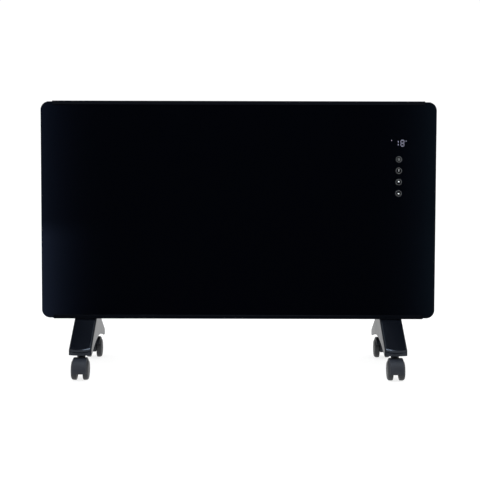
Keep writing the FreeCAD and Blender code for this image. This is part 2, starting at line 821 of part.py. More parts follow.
# Heating elements: finned rods in ceramic bushes on two brackets
bracket_left = -casing_end + s.element_inset
bracket_right = partition - s.element_inset
element_zs = [bottom + s.element_low + s.element_pitch * number for number in (0, 1)]
bushes = []


def element(label, z):
    body = doc.addObject("PartDesign::Body", f"{label}_fins")
    reach = s.element_reach
    fin = s.element_fin / 2
    corner = [(reach, -fin), (reach, fin), (fin, fin), (fin, reach), (-fin, reach), (-fin, fin)]
    corners = corner + [(-point[0], -point[1]) for point in corner]
    start = bracket_left + s.bracket_thickness + s.insulator_flange_height
    end = bracket_right - s.bracket_thickness - s.insulator_flange_height
    extrude(body, "Pad", outline(sketch_on(body, f"{label}_cross", "YZ_Plane"), corners), end - start)
    place(body, start, element_y, z, Rotation(Vector(1, 0, 0), 45))
    core = rod(f"{label}_core", "X", s.element_core, end - start, start, element_y, z)
    overhang = s.rod_overhang
    heater = rod(f"{label}_rod", "X", s.element_rod, bracket_right - bracket_left + overhang * 2,
                 bracket_left - overhang, element_y, z)
    node(fuse(f"{label}_solid", body, core, heater), label)
    for side, plane in ((-1, bracket_left), (1, bracket_right)):
        name = f"{label}_bush{side + 1}"
        inside = plane - s.bracket_thickness * side
        barrel_start = inside if side > 0 else plane - s.insulator_length
        flange_start = inside - s.insulator_flange_height if side > 0 else inside
        barrel = rod(f"{name}_barrel", "X", s.insulator_radius, s.insulator_length + s.bracket_thickness,
                     barrel_start, element_y, z)
        flange = rod(f"{name}_flange", "X", s.insulator_flange, s.insulator_flange_height,
                     flange_start, element_y, z)
        bushes.append(cut(name, fuse(f"{name}_solid", barrel, flange), heater))


element("lower_element", element_zs[0])
element("upper_element", element_zs[1])
node(group("bush_group", bushes), "element_insulators")


def element_bracket(label, plane, side):
    zs = (element_zs[0] - s.bracket_margin, element_zs[1] + s.bracket_margin)
    inside = plane - s.bracket_thickness * side
    outside = plane + s.bracket_flange * side
    wall_xs = (inside, plane) if side > 0 else (plane, inside)
    flange_xs = (inside, outside) if side > 0 else (outside, inside)
    wall = block(f"{label}_wall", wall_xs, (element_y - s.element_reach, back_inside), zs)
    flange = block(f"{label}_flange", flange_xs, (back_inside - s.bracket_thickness, back_inside), zs)
    first = 0 if side < 0 else 1
    node(cut(f"{label}_drilled", fuse(f"{label}_solid", wall, flange), bushes[first], bushes[first + 2],
             *[rod(f"{label}_pass{number}", "X", s.element_rod, s.bracket_flange,
                   wall_xs[0] - s.bracket_flange / 2, element_y, z)
               for number, z in enumerate(element_zs)]), label)


element_bracket("left_element_bracket", bracket_left, -1)
element_bracket("right_element_bracket", bracket_right, 1)

# Reflector behind the elements, on four spacers
reflector_xs = (bracket_left + s.bracket_flange, bracket_right - s.bracket_flange)
reflector_zs = (bottom + s.reflector_low, top - s.reflector_drop)
reflector_back = back_inside - s.reflector_stand
reflector_ys = (reflector_back - s.reflector_thickness, reflector_back)
node(block("reflector_sheet", reflector_xs, reflector_ys, reflector_zs), "heat_reflector")
spacers = []
for x in (s.spacer_step - insert_x, insert_x - s.spacer_step):
    for z in (reflector_zs[0] + s.spacer_inset, reflector_zs[1] - s.spacer_inset):
        spacers.append(rod(f"spacer{len(spacers)}", "Y", s.spacer_radius, s.reflector_stand, x,
                           reflector_back, z))
node(group("spacer_group", spacers), "reflector_spacers")

# Thermal cut-out on the hot side of the partition
cutout_z = bottom + s.cutout_height
disc = rod("cutout_disc", "X", s.cutout_radius, s.cutout_depth, partition - s.cutout_depth, 0, cutout_z)
ears = block("cutout_ears", (partition - s.bracket_thickness, partition), (-s.cutout_radius, s.cutout_radius),
             (cutout_z - s.cutout_flange, cutout_z + s.cutout_flange))
node(fuse("cutout_solid", disc, ears), "thermal_cutout")

# Controls behind the upper right corner of the glass
key_x = half_glass - s.key_inset
key_zs = [top - s.key_drop - s.key_pitch * number for number in range(4)]
display_x = key_x + s.display_shift
display_z = top - s.display_drop
housing_xs = (key_x - s.housing_half, key_x + s.housing_half)
housing_zs = (key_zs[-1] - s.housing_below, display_z + s.housing_above)
housing_back = glass_back + s.housing_depth
board_front = glass_back + s.key_post
board_back = board_front + s.board_thickness
shell = block("housing_shell", housing_xs, (glass_back, housing_back), housing_zs)
room_xs = (housing_xs[0] + s.housing_wall, housing_xs[1] - s.housing_wall)
room_zs = (housing_zs[0] + s.housing_wall, housing_zs[1] - s.housing_wall)
room = block("housing_room", room_xs, (glass_back - s.housing_wall, housing_back - s.housing_wall), room_zs)
posts = []
for x in (room_xs[0] + s.post_radius, room_xs[1] - s.post_radius):
    for z in (room_zs[0] + s.post_radius, room_zs[1] - s.post_radius):
        post_length = housing_back - board_back
        posts.append(rod(f"housing_post{len(posts)}", "Y", s.post_radius, post_length, x, board_back, z))
ribbon_z = room_zs[0] + s.ribbon_drop
ribbon_gap = block("ribbon_gap", about(key_x, s.ribbon_width + s.fit_gap * 2),
                   (board_back, housing_back + s.housing_wall),
                   about(ribbon_z, s.ribbon_thickness + s.fit_gap * 2))
node(fuse("housing_solid", cut("housing_tray", shell, room, ribbon_gap), *posts), "control_housing")
board_xs = (room_xs[0] + s.fit_gap, room_xs[1] - s.fit_gap)
board_zs = (room_zs[0] + s.fit_gap, room_zs[1] - s.fit_gap)
node(block("touch_board_sheet", board_xs, (board_front, board_back), board_zs), "touch_board")
pads = [rod(f"key_pad{number}", "Y", s.key_radius, s.key_post, key_x, glass_back, z)
        for number, z in enumerate(key_zs)]
node(group("pad_group", pads), "touch_pads")
node(block("display_block", about(display_x, s.display_width), (glass_back, board_front),
           about(display_z, s.display_height)), "display_module")

# Power board on standoffs, with its relays and coil
power_xs = (partition + s.power_gap, casing_end - s.cap_spigot - s.power_end_gap)
power_back = back_inside - s.power_stand
power_front = power_back - s.board_thickness
node(block("power_sheet", power_xs, (power_front, power_back), power_zs), "power_board")
standoffs = []
for x in (power_xs[0] + s.standoff_inset, power_xs[1] - s.standoff_inset):
    for z in (power_zs[0] + s.standoff_inset, power_zs[1] - s.standoff_inset):
        standoffs.append(rod(f"standoff{len(standoffs)}", "Y", s.standoff_radius, s.power_stand,
                             x, power_back, z))
node(group("standoff_group", standoffs), "board_standoffs")
relay_z = power_zs[1] - s.relay_height
relays = []
for number in (0, 1):
    x = power_xs[0] + s.relay_width * (1 + number * 1.5)
    relays.append(block(f"relay{number}", about(x, s.relay_width), (power_front - s.relay_depth, power_front),
                        about(relay_z, s.relay_height)))
node(group("relay_group", relays), "relays")
coil_low = power_zs[0] + s.standoff_inset * 2
node(block("coil_block", about((power_xs[0] + power_xs[1]) / 2, s.coil_width),
           (power_front - s.coil_depth, power_front), (coil_low, coil_low + s.coil_height)), "transformer")

# Terminal block on the back, with three wire holes
terminal_xs = (power_xs[0], power_xs[0] + s.terminal_width)
terminal_zs = (bottom + s.terminal_low, bottom + s.terminal_low + s.terminal_height)
terminal = block("terminal_solid", terminal_xs, (back_inside - s.terminal_depth, back_inside), terminal_zs)
wire_xs = [terminal_xs[0] + s.terminal_width * (1 + number * 2) / 6 for number in range(3)]
wire_y = back_inside - s.terminal_depth / 2
wire_holes = [rod(f"terminal_hole{number}", "Z", s.lead_radius, s.terminal_height * 2, x, wire_y,
                  terminal_zs[0] - s.terminal_height / 2) for number, x in enumerate(wire_xs)]
node(cut("terminal_drilled", terminal, *wire_holes), "terminal_block")


# Inner leads: round wire in straight runs joined by quarter bends
def swept(points, profile, bend):
    corners = [Vector(*[size(value).value for value in point]) for point in points]
    path = []
    start = corners[0]
    for before, corner, after in zip(corners, corners[1:], corners[2:]):
        inward = (before - corner).normalize() * bend
        onward = (after - corner).normalize() * bend
        path.append(Part.LineSegment(start, corner + inward).toShape())
        halfway = corner + (inward + onward) * (1 - math.sqrt(0.5))
        path.append(Part.Arc(corner + inward, halfway, corner + onward).toShape())
        start = corner + onward
    path.append(Part.LineSegment(start, corners[-1]).toShape())
    return Part.Wire(path).makePipeShell([profile(corners[0], corners[1] - corners[0])], True, False)


def round_wire(centre, direction):
    return Part.Wire(Part.makeCircle(s.lead_radius.value, centre, direction))


def flat_wire(centre, direction):
    across = Vector(s.ribbon_width.value / 2, 0, 0)
    through = Vector(0, 0, s.ribbon_thickness.value / 2)
    low, high = centre - through, centre + through
    corners = [low - across, low + across, high + across, high - across]
    return Part.makePolygon(corners + corners[:1])


def lead(name, points, profile=round_wire):
    obj = doc.addObject("Part::Feature", name)
    obj.Shape = swept(points, profile, s.lead_bend.value)
    obj.Placement = Placement()
    return obj


leads = []
rod_end = bracket_right + s.rod_overhang
link_end = bracket_left - s.rod_overhang
for number, z in enumerate(element_zs):
    level = lead_z + s.lead_pitch * (number - 0.5)
    start = power_xs[0] + s.lead_bend
    turn = partition - s.lead_step * (number + 1)
    route = [(start, power_front, level), (start, element_y, level), (turn, element_y, level),
             (turn, element_y, z), (rod_end, element_y, z)]
    leads.append(lead(f"element_lead{number}", route))
link_x = link_end - s.lead_step
leads.append(lead("element_link", [(link_end, element_y, element_zs[0]), (link_x, element_y, element_zs[0]),
                                   (link_x, element_y, element_zs[1]), (link_end, element_y, element_zs[1])]))
wire_front = power_front - s.lead_rise
for number, x in enumerate(wire_xs):
    level = power_zs[0] - s.lead_radius * 2
    rise = power_zs[0] + s.lead_rise
    route = [(x, wire_y, terminal_zs[1] - s.lead_rise), (x, wire_y, level), (x, wire_front, level),
             (x, wire_front, rise), (x, power_front, rise)]
    leads.append(lead(f"board_lead{number}", route))
for number, x in enumerate(wire_xs[1:]):
    level = terminal_zs[0] - s.lead_rise
    outlet_y = back - s.switch_depth
    leads.append(lead(f"switch_lead{number}", [(x, outlet_y, switch_z), (x, outlet_y - s.lead_rise, switch_z),
                                               (x, outlet_y - s.lead_rise, level), (x, wire_y, level),
                                               (x, wire_y, terminal_zs[0] + s.lead_rise / 2)]))
node(group("lead_group", leads), "inner_leads")
ribbon_low = power_zs[1] - s.ribbon_drop
ribbon_points = [(key_x, board_back, ribbon_z), (key_x, size(0), ribbon_z), (key_x, size(0), ribbon_low),
                 (key_x, power_front, ribbon_low)]
node(lead("ribbon", ribbon_points, flat_wire), "display_ribbon")

# Tip-over switch on the partition, room sensor on the casing floor
tilt_start = partition + s.sheet_thickness
tilt_low = floor_inside + s.tilt_lift
node(block("tilt_block", (tilt_start, tilt_start + s.tilt_width), about(size(0), s.tilt_depth),
           (tilt_low, tilt_low + s.tilt_height)), "tip_over_switch")
sensor_x = casing_end - s.sensor_inset
sensor_foot = block("sensor_foot", about(sensor_x, s.sensor_size), about(size(0), s.sensor_size),
                    (floor_inside, floor_inside + s.sensor_size / 2))
sensor_bead = rod("sensor_bead", "Z", s.sensor_size / 4, s.sensor_height, sensor_x, 0, floor_inside)
node(fuse("sensor_solid", sensor_foot, sensor_bead), "room_sensor")

# Casters: each swivels on its stem and rolls on two wheels
axle_z = s.wheel_radius
boss_top = s.collar_low - s.swivel_gap


def stem(label, x, y):
    body = doc.addObject("PartDesign::Body", f"{label}_body")
    corners = [
        (size(0), s.stem_low),
        (s.stem_radius, s.stem_low),
        (s.stem_radius, s.collar_low),
        (s.collar_radius, s.collar_low),
        (s.collar_radius, s.foot_bottom),
        (s.stem_radius, s.foot_bottom),
        (s.stem_radius, s.stem_top),
        (size(0), s.stem_top),
    ]
    revolve(body, outline(sketch_on(body, f"{label}_profile", "XZ_Plane"), corners), "V_Axis")
    node(place(body, x, y), label)


def hood(label, x, y, stem_y, outward):
    before = s.fender_lead if outward < 0 else s.fender_trail
    sector = doc.addObject("Part::Cylinder", f"{label}_sector")
    bind(sector, "Radius", s.fender_outer)
    bind(sector, "Height", s.fender_half * 2)
    bind(sector, "Angle", s.fender_lead + s.fender_trail)
    place(sector, x - s.fender_half, y, axle_z, Rotation(Vector(1, 0, 0), 180 - before.value) * along["X"])
    boss = rod(f"{label}_boss", "Z", s.swivel_boss, boss_top - axle_z, x, stem_y, axle_z)
    wheel_room = rod(f"{label}_room", "X", s.fender_inner, s.foot_width, x - s.foot_width / 2, y, axle_z)
    disc = rod(f"{label}_disc", "X", s.web_radius, s.web_half * 2, x - s.web_half, y, axle_z)
    window = block(f"{label}_window", about(x, s.foot_width), (y - s.foot_width, y + s.foot_width),
                   (axle_z - s.web_drop, s.foot_bottom))
    fender = cut(f"{label}_fender", sector, wheel_room)
    doc.recompute()
    rounded = doc.addObject("Part::Fillet", f"{label}_rounded")
    rounded.Base = fender
    rounded.Edges = [(number, s.fender_round.value, s.fender_round.value)
                     for number, edge in enumerate(fender.Shape.Edges, 1)
                     if isinstance(edge.Curve, Part.Circle) and near(edge.Curve.Radius, s.fender_outer)]
    web = common(f"{label}_web", disc, window)
    solid = fuse(f"{label}_solid", rounded, cut(f"{label}_neck", boss, wheel_room), web)
    bore = rod(f"{label}_bore", "Z", s.stem_radius + s.run_gap, s.foot_bottom,
               x, stem_y, s.stem_low - s.swivel_gap)
    axle_hole = rod(f"{label}_axle_hole", "X", s.axle_radius, s.foot_width, x - s.foot_width / 2, y, axle_z)
    node(cut(f"{label}_drilled", solid, bore, axle_hole), label)


def wheel(label, x, y, side):
    body = doc.addObject("PartDesign::Body", f"{label}_body")
    bore = s.axle_radius + s.run_gap
    shoulder = s.wheel_outer - s.dome_rise
    dome_radius = (s.dome_rim * s.dome_rim + s.dome_rise * s.dome_rise) / (s.dome_rise * 2)
    corners = [
        (s.wheel_inner, bore),
        (s.wheel_inner, s.hub_radius),
        (s.wheel_inner + s.wheel_recess, s.hub_radius),
        (s.wheel_inner + s.wheel_recess, s.rim_radius),
        (s.wheel_inner, s.rim_radius),
        (s.wheel_inner, s.wheel_radius),
        (s.tread_outer, s.wheel_radius, -(s.wheel_radius - s.dome_rim)),
        (shoulder, s.dome_rim, -dome_radius),
        (s.wheel_outer, size(0)),
        (s.axle_half + s.fit_gap * 2, size(0)),
        (s.axle_half + s.fit_gap * 2, bore),
    ]
    revolve(body, outline(sketch_on(body, f"{label}_profile", "XZ_Plane"), corners), "H_Axis")
    turn = Rotation(Vector(0, 0, 1), 0 if side > 0 else 180)
    node(place(body, x, y, axle_z, turn), label)


def caster(label, side, outward):
    x = foot_x * side
    stem_y = s.stem_reach * outward
    y = (s.stem_reach + s.caster_trail) * outward
    stem(f"{label}_stem", x, stem_y)
    hood(f"{label}_hood", x, y, stem_y, outward)
    pin = rod(f"{label}_axle_pin", "X", s.axle_radius, s.axle_half * 2, x - s.axle_half, y, axle_z)
    node(pin, f"{label}_axle")
    wheel(f"{label}_outer_wheel", x, y, side)
    wheel(f"{label}_inner_wheel", x, y, -side)


for row_name, outward in (("front", -1), ("rear", 1)):
    for side_name, side in (("left", -1), ("right", 1)):
        caster(f"{row_name}_{side_name}", side, outward)

doc.recompute()
for obj in doc.Objects:
    if {"Invalid", "Error"} & set(obj.State):
        raise RuntimeError(f"{obj.Name} ({obj.Label}) is in state {obj.State}")
for obj in nodes:
    if obj.Shape.isNull() or not obj.Shape.isValid() or not obj.Shape.Solids:
        raise RuntimeError(f"{obj.Label} has no valid solid")

os.makedirs("parts", exist_ok=True)
for obj in nodes:
    obj.Shape.exportStep(f"parts/{obj.Label}.step")
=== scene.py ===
import json
import math
import bmesh
import bpy
from mathutils import Matrix, Vector


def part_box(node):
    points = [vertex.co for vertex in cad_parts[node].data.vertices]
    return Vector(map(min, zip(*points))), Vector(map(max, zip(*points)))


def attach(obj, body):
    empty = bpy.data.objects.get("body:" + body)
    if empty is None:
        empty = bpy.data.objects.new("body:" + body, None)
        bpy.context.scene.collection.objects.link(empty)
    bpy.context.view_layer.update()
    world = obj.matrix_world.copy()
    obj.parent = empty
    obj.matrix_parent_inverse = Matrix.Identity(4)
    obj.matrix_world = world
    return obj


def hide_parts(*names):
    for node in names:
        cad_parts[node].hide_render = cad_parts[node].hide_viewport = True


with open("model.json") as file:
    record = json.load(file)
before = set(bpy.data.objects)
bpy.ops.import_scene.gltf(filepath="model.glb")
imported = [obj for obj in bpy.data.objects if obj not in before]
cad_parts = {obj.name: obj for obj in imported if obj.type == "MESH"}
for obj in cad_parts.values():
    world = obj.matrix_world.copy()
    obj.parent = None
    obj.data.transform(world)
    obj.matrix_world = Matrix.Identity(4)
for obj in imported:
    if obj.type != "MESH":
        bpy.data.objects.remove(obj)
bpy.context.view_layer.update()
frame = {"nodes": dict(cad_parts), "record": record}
mm = 0.001
fullTurn = 2 * math.pi
straight = 0.99  # how closely an edge or a normal has to follow Y
print("frame loaded:", len(frame["nodes"]), "nodes")


# Small helpers for meshes

def boxInto(bm, low, high):
    low, high = Vector(low), Vector(high)
    place = Matrix.Translation((low + high) / 2) @ Matrix.Diagonal((*(high - low), 1))
    return bmesh.ops.create_cube(bm, size=1, matrix=place)["verts"]


def alongY(edge):
    return abs((edge.verts[0].co - edge.verts[1].co).normalized().y) > straight


def edgesOf(verts):
    return list({edge for vert in verts for edge in vert.link_edges})


def facesOf(verts):
    return list({face for vert in verts for face in vert.link_faces})


def only(kind, items):
    return [item for item in items if isinstance(item, kind)]


def roundEdges(bm, edges, offset, segments):
    bmesh.ops.bevel(bm, geom=edges, offset=offset, offset_type="OFFSET", affect="EDGES",
                    segments=segments, profile=0.5, material=-1, clamp_overlap=True)


def spinProfile(bm, points, centre, axis, steps, angle=fullTurn, closed=True):
    verts = [bm.verts.new(point) for point in points]
    ends = verts[1:] + verts[:1] if closed else verts[1:]
    edges = [bm.edges.new(pair) for pair in zip(verts, ends)]
    full = math.isclose(angle, fullTurn)
    made = bmesh.ops.spin(bm, geom=verts + edges, cent=centre, axis=axis, dvec=(0, 0, 0), angle=angle,
                          steps=steps, use_merge=full, use_duplicate=False)
    if closed and not full:  # a part turn gets its two end faces
        bmesh.ops.contextual_create(bm, geom=edges)
        bmesh.ops.contextual_create(bm, geom=only(bmesh.types.BMEdge, made["geom_last"]))


def addPiece(name, bm, material, body="heater", sharp=35):
    bmesh.ops.remove_doubles(bm, verts=bm.verts, dist=1e-7)
    bmesh.ops.recalc_face_normals(bm, faces=bm.faces)
    mesh = bpy.data.meshes.new(name)
    bm.to_mesh(mesh)
    bm.free()
    mesh.shade_smooth()
    mesh.set_sharp_from_angle(angle=math.radians(sharp))
    mesh.materials.append(material)
    piece = bpy.data.objects.new(name, mesh)
    bpy.context.scene.collection.objects.link(piece)
    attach(piece, body)
    return piece


# Small helpers for materials

def newMaterial(name):
    material = bpy.data.materials.new(name)
    material.use_nodes = True
    tree = material.node_tree
    return material, tree, tree.nodes["Principled BSDF"]


def noiseNode(tree, vector, scale, detail=4.0):
    noise = tree.nodes.new("ShaderNodeTexNoise")
    noise.inputs["Scale"].default_value = scale
    noise.inputs["Detail"].default_value = detail
    tree.links.new(vector, noise.inputs["Vector"])
    return noise.outputs["Fac"]


def mixColour(tree, factor, first, second):
    mix = tree.nodes.new("ShaderNodeMix")
    mix.data_type = "RGBA"
    tree.links.new(factor, mix.inputs[0])
    for socket, colour in ((6, first), (7, second)):
        if isinstance(colour, tuple):
            mix.inputs[socket].default_value = (*colour, 1)
        else:
            tree.links.new(colour, mix.inputs[socket])
    return mix.outputs[2]


def remap(tree, value, fromRange, toRange):
    node = tree.nodes.new("ShaderNodeMapRange")
    node.inputs["From Min"].default_value, node.inputs["From Max"].default_value = fromRange
    node.inputs["To Min"].default_value, node.inputs["To Max"].default_value = toRange
    tree.links.new(value, node.inputs["Value"])
    return node.outputs["Result"]


def mathNode(tree, operation, *values):
    node = tree.nodes.new("ShaderNodeMath")
    node.operation = operation
    for socket, value in zip(node.inputs, values):
        if isinstance(value, (int, float)):
            socket.default_value = value
        else:
            tree.links.new(value, socket)
    return node.outputs["Value"]


def splitPlace(tree, coords):
    place = tree.nodes.new("ShaderNodeSeparateXYZ")
    tree.links.new(coords.outputs["Object"], place.inputs["Vector"])
    return place.outputs


# Finishes: every one has its own colour drift, gloss drift and surface grain

finishRules = {"driftBand": (0.35, 0.65), "fleckBand": (0.55, 0.75), "glossBand": (0.3, 0.7),
               "grainDetail": 3.0, "grainDepth": 0.2 * mm, "edgeSamples": 4}


def newFinish(name, look):
    material, tree, shader = newMaterial(name)
    coords = tree.nodes.new("ShaderNodeTexCoord")
    lay = tree.nodes.new("ShaderNodeMapping")
    lay.inputs["Scale"].default_value = look.get("stretch", (1, 1, 1))
    tree.links.new(coords.outputs["Object"], lay.inputs["Vector"])
    drift = noiseNode(tree, lay.outputs["Vector"], look["drift"])
    fine = noiseNode(tree, lay.outputs["Vector"], look["grain"], finishRules["grainDetail"])
    share = remap(tree, drift, finishRules["driftBand"], (0, 1))
    colour = mixColour(tree, share, look["colour"], look["second"])
    if "fleck" in look:  # fine specks, as in moulded grain or sparkle in a coat
        share = remap(tree, fine, finishRules["fleckBand"], (0, 1))
        colour = mixColour(tree, share, colour, look["fleck"])
    tree.links.new(colour, shader.inputs["Base Color"])
    rough = remap(tree, drift, finishRules["glossBand"], look["rough"])
    shader.inputs["Specular IOR Level"].default_value = look.get("specular", 0.5)
    shader.inputs["Specular Tint"].default_value = (*look.get("gloss", (1, 1, 1)), 1)
    if "flank" in look:  # matt sides: middle, distance out from it, more roughness, gloss level
        middle, reach, more, gloss = look["flank"]
        out = mathNode(tree, "ABSOLUTE", splitPlace(tree, coords)["X"])
        out = mathNode(tree, "ABSOLUTE", mathNode(tree, "SUBTRACT", out, middle))
        flank = mathNode(tree, "GREATER_THAN", out, reach)
        rough = mathNode(tree, "ADD", rough, mathNode(tree, "MULTIPLY", flank, more))
        level = remap(tree, flank, (0, 1), (look["specular"], gloss))
        tree.links.new(level, shader.inputs["Specular IOR Level"])
    tree.links.new(rough, shader.inputs["Roughness"])
    bump = tree.nodes.new("ShaderNodeBump")
    bump.inputs["Strength"].default_value = look["bump"]
    bump.inputs["Distance"].default_value = finishRules["grainDepth"]
    tree.links.new(fine, bump.inputs["Height"])
    if "edge" in look:  # soft edge where two faces meet
        soft = tree.nodes.new("ShaderNodeBevel")
        soft.samples = finishRules["edgeSamples"]
        soft.inputs["Radius"].default_value = look["edge"]
        tree.links.new(soft.outputs["Normal"], bump.inputs["Normal"])
    tree.links.new(bump.outputs["Normal"], shader.inputs["Normal"])
    shader.inputs["Metallic"].default_value = look.get("metal", 0)
    return material


looks = {
    "black_rail": dict(
        colour=(0.0012, 0.0017, 0.003), second=(0.0022, 0.0027, 0.0044), drift=9, grain=2200,
        bump=0.04, rough=(0.2, 0.28), stretch=(0.05, 1, 1), specular=0.06),
    "casing_coat": dict(
        colour=(0.0125, 0.0125, 0.014), second=(0.017, 0.017, 0.019), fleck=(0.027, 0.027, 0.03),
        drift=7, grain=900, bump=0.32, rough=(0.42, 0.54), edge=0.5 * mm, specular=0.34),
    "cap_plastic": dict(
        colour=(0.008, 0.008, 0.0095), second=(0.011, 0.011, 0.013), fleck=(0.015, 0.015, 0.017),
        drift=12, grain=1900, bump=0.24, rough=(0.4, 0.5), edge=0.6 * mm, specular=0.32),
    "foot_plastic": dict(
        colour=(0.0026, 0.0034, 0.0054), second=(0.0038, 0.0046, 0.007), drift=16, grain=2600,
        bump=0.06, rough=(0.15, 0.2), specular=0.39, gloss=(0.8, 0.87, 1.0),
        flank=(311.5 * mm, 19.6 * mm, 0.12, 0.13)),
    "hood_plastic": dict(
        colour=(0.0115, 0.0132, 0.0182), second=(0.0162, 0.0184, 0.025), fleck=(0.025, 0.028, 0.035),
        drift=60, grain=2400, bump=0.25, rough=(0.42, 0.52), specular=0.23),
    "wheel_plastic": dict(
        colour=(0.0075, 0.0085, 0.011), second=(0.0115, 0.0128, 0.016), fleck=(0.021, 0.0225, 0.027),
        drift=90, grain=2000, bump=0.25, rough=(0.42, 0.56), specular=0.35),
    "zinc_steel": dict(
        colour=(0.56, 0.56, 0.54), second=(0.68, 0.68, 0.65), drift=120, grain=1800, bump=0.12,
        rough=(0.24, 0.42), metal=1, edge=0.3 * mm),
    "black_steel": dict(
        colour=(0.02, 0.02, 0.022), second=(0.03, 0.03, 0.033), drift=200, grain=2500, bump=0.1,
        rough=(0.28, 0.4), metal=0.6, edge=0.2 * mm),
    "bright_aluminium": dict(
        colour=(0.74, 0.74, 0.76), second=(0.84, 0.84, 0.85), drift=20, grain=1500, bump=0.1,
        rough=(0.22, 0.36), metal=1, stretch=(0.08, 1, 1)),
    "white_ceramic": dict(
        colour=(0.78, 0.76, 0.7), second=(0.86, 0.84, 0.8), drift=80, grain=1400, bump=0.15,
        rough=(0.5, 0.65)),
    "dark_plastic": dict(
        colour=(0.018, 0.018, 0.02), second=(0.026, 0.026, 0.028), drift=70, grain=2600, bump=0.2,
        rough=(0.38, 0.5), edge=0.3 * mm),
    "rocker_plastic": dict(
        colour=(0.38, 0.012, 0.01), second=(0.47, 0.02, 0.016), drift=90, grain=2800, bump=0.06,
        rough=(0.22, 0.3), edge=0.4 * mm),
    "white_plastic": dict(
        colour=(0.74, 0.74, 0.71), second=(0.82, 0.82, 0.79), drift=60, grain=2200, bump=0.1,
        rough=(0.35, 0.48)),
    "yellow_plastic": dict(
        colour=(0.68, 0.46, 0.06), second=(0.78, 0.56, 0.1), drift=90, grain=1800, bump=0.12,
        rough=(0.4, 0.5)),
    "green_board": dict(
        colour=(0.012, 0.12, 0.045), second=(0.02, 0.17, 0.06), fleck=(0.3, 0.27, 0.16), drift=60,
        grain=420, bump=0.15, rough=(0.3, 0.42)),
    "grey_rubber": dict(
        colour=(0.16, 0.16, 0.16), second=(0.24, 0.24, 0.235), drift=120, grain=2400, bump=0.2,
        rough=(0.6, 0.75)),
}
stemLook = dict(  # the stems' zinc is passivated black
    colour=(0.016, 0.016, 0.018), second=(0.026, 0.026, 0.029), drift=150, grain=2000, bump=0.1,
    rough=(0.3, 0.42), metal=0.7)
finishes = {slot: newFinish(slot, look) for slot, look in looks.items()}
stemFinish = newFinish("dark_zinc", stemLook)
for part in frame["record"]["subparts"]:
    finish = finishes.get(part["material_slot"])  # the glass gets its own further down
    if part["node"].endswith("_stem"):
        finish = stemFinish
    if finish:
        for holder in frame["nodes"][part["node"]].material_slots:
            holder.material = finish
print("finishes made:", len(finishes) + 1)


# Black glass front: a polished sheet, painted behind, with a ground edge

# The two sheen colours are a painted reflection in the base colour: the glass is paler towards each end,
# and weaker above the fade heights
glassPanel = {"corner": 17 * mm, "cornerSteps": 14, "rim": 0.6 * mm, "rimSteps": 3, "shadeAngle": 60,
              "paint": (0.00055, 0.00075, 0.0015), "rough": (0.03, 0.055), "smearBand": (0.4, 0.7),
              "smear": 6, "wave": 2.5, "waveDetail": 1.0, "waveStrength": 0.02, "waveDepth": 1 * mm,
              "ior": 1.5, "leftSheen": (0.0068, 0.0094, 0.0172), "leftFade": 0.4,
              "rightSheen": (0.0026, 0.0041, 0.0064), "rightFade": 0.85, "paintedSheenReach": 260 * mm,
              "paintedSheenFall": 6.4, "fadeHeights": (275 * mm, 310 * mm)}
groundEdge = dict(colour=(0.0016, 0.0018, 0.0026), second=(0.0026, 0.0028, 0.0036), drift=90, grain=2400,
                  bump=0.1, rough=(0.5, 0.62), specular=0.02)


def glassFinish(low, high, look):
    material, tree, shader = newMaterial("black_glass")
    coords = tree.nodes.new("ShaderNodeTexCoord")
    place = splitPlace(tree, coords)
    colour = look["paint"]
    for side, edge, inward in (("left", low.x, 1), ("right", high.x, -1)):  # painted reflection: the colour is paler towards the ends
        near = remap(tree, place["X"], (edge, edge + inward * look["paintedSheenReach"]), (1, 0))
        share = remap(tree, place["Z"], look["fadeHeights"], (1, look[f"{side}Fade"]))
        share = mathNode(tree, "MULTIPLY", share, mathNode(tree, "POWER", near, look["paintedSheenFall"]))
        colour = mixColour(tree, share, colour, look[f"{side}Sheen"])
    tree.links.new(colour, shader.inputs["Base Color"])
    smear = noiseNode(tree, coords.outputs["Object"], look["smear"])
    tree.links.new(remap(tree, smear, look["smearBand"], look["rough"]), shader.inputs["Roughness"])
    wave = noiseNode(tree, coords.outputs["Object"], look["wave"], look["waveDetail"])
    bump = tree.nodes.new("ShaderNodeBump")
    bump.inputs["Strength"].default_value = look["waveStrength"]
    bump.inputs["Distance"].default_value = look["waveDepth"]
    tree.links.new(wave, bump.inputs["Height"])
    tree.links.new(bump.outputs["Normal"], shader.inputs["Normal"])
    shader.inputs["IOR"].default_value = look["ior"]
    return material


glassLow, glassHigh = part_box("glass_front")
bm = bmesh.new()
boxInto(bm, glassLow, glassHigh)
upright = [edge for edge in bm.edges if alongY(edge)]
roundEdges(bm, upright, glassPanel["corner"], glassPanel["cornerSteps"])
outline = [edge for edge in bm.edges if not alongY(edge)]
roundEdges(bm, outline, glassPanel["rim"], glassPanel["rimSteps"])
glass = addPiece("glassPanel", bm, glassFinish(glassLow, glassHigh, glassPanel),
                 sharp=glassPanel["shadeAngle"])
glass.data.materials.append(newFinish("ground_edge", groundEdge))
for face in glass.data.polygons:  # the rim is ground matt, the two broad faces are polished
    face.material_index = 0 if abs(face.normal.y) > straight else 1
glass.modifiers.new("evenShading", "WEIGHTED_NORMAL").keep_sharp = True
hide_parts("glass_front")
print("glass made")


# Lit marks behind the glass: display figures, indicator and four touch keys

